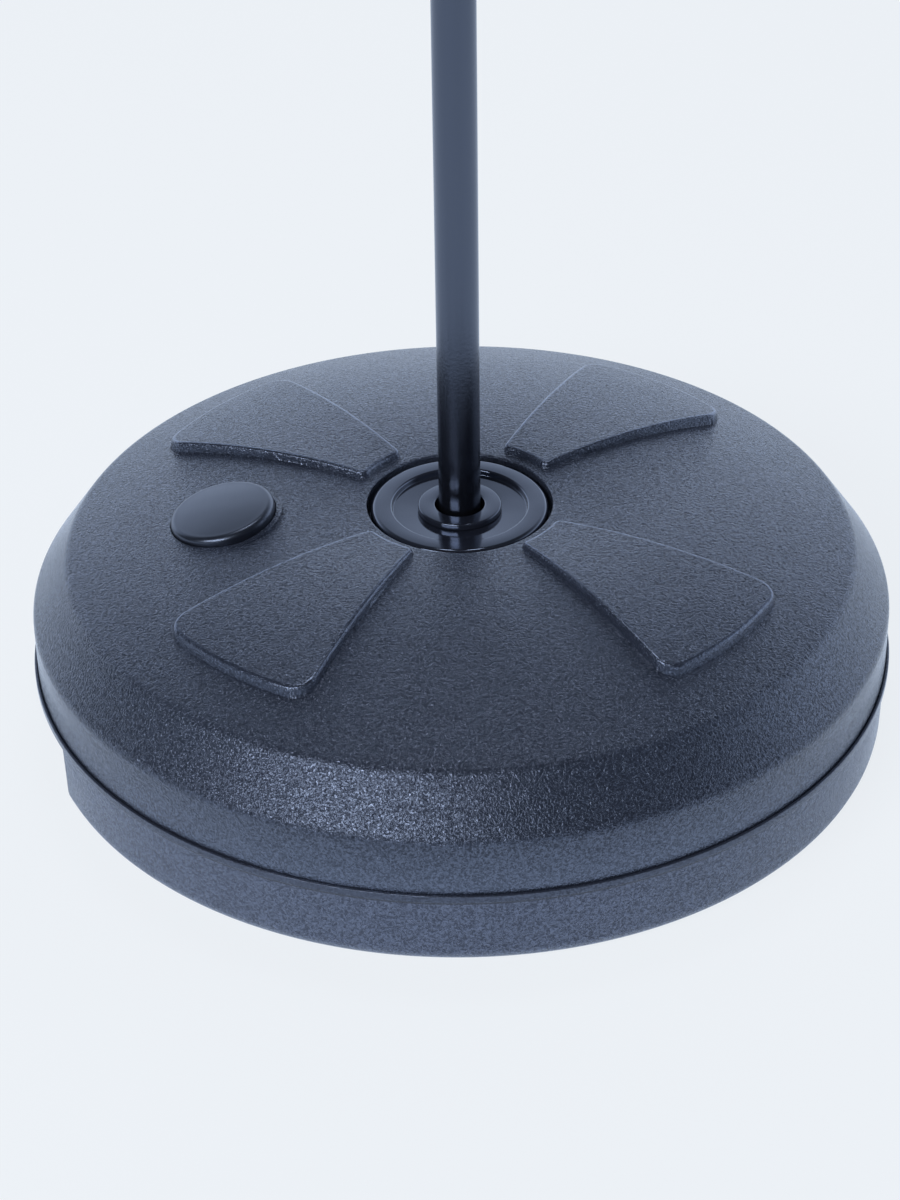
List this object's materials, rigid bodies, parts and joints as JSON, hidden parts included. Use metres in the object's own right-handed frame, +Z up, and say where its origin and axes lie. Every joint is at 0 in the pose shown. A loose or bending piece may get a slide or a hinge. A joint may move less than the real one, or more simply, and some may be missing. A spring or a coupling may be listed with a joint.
{
  "type": "basketball stand",
  "caption": "Round fillable ballast base with a central telescopic pole that carries a small backboard, hoop and net.",
  "frame": {"origin": "on the floor under the pole's axis, at the centre of the round base", "axes": "+Z up along the pole, -Y towards the hoop and the picture's viewer, +X to the viewer's right"},
  "size_m": [0.522, 0.522, 1.39],
  "materials": {
    "upper_shell": "charcoal polyethylene with a pebbled grain",
    "lower_shell": "charcoal polyethylene with a fine grain",
    "cover": "smooth glossy moulding",
    "plug": "smooth satin moulding",
    "fitting": "black moulded nylon",
    "rubber": "black",
    "tube": "black powder coat on steel",
    "zinc": "bright zinc plate",
    "panel": "plain pale board",
    "ring": "orange powder coat on steel",
    "net": "plain knotted cord"
  },
  "bodies": {
    "base": {"base_upper_shell": "upper_shell", "base_lower_shell": "lower_shell", "rim_seal": "rubber", "base_screw_1": "zinc", "base_screw_2": "zinc", "base_screw_3": "zinc", "base_screw_4": "zinc", "base_screw_5": "zinc", "base_screw_6": "zinc", "centre_cover": "cover", "pole_trim_ring": "cover", "lower_tube": "tube", "foot_insert": "fitting", "anchor_bolt": "zinc", "anchor_washer": "zinc", "anchor_nut": "zinc", "clamp_collar": "fitting", "clamp_nut": "zinc"},
    "plug": {"fill_plug": "plug", "plug_seal_ring": "rubber"},
    "knob": {"clamp_knob": "fitting", "clamp_stud": "zinc"},
    "mast": {"upper_tube": "tube", "guide_bush": "fitting", "mast_cap": "rubber", "board_bracket": "tube", "u_bolt_lower": "zinc", "u_bolt_upper": "zinc", "u_bolt_nut_1": "zinc", "u_bolt_nut_2": "zinc", "u_bolt_nut_3": "zinc", "u_bolt_nut_4": "zinc", "backboard_panel": "panel", "ring": "ring", "ring_bolt_1": "zinc", "ring_bolt_2": "zinc", "ring_bolt_3": "zinc", "ring_bolt_4": "zinc", "ring_nut_1": "zinc", "ring_nut_2": "zinc", "ring_nut_3": "zinc", "ring_nut_4": "zinc", "net": "net"}
  },
  "joints": [
    {"name": "height_slide", "type": "slide", "parent": "base", "child": "mast", "axis": [0, 0, 1], "range_m": [0, 0.25]},
    {"name": "plug_pull", "type": "slide", "parent": "base", "child": "plug", "axis": [-0.1946, -0.0134, 0.9808], "range_m": [0, 0.06]},
    {"name": "clamp_knob_turn", "type": "hinge", "parent": "base", "child": "knob", "pos_m": [0.04, 0, 0.7743], "axis": [1, 0, 0], "range_deg": [0, 360]}
  ]
}
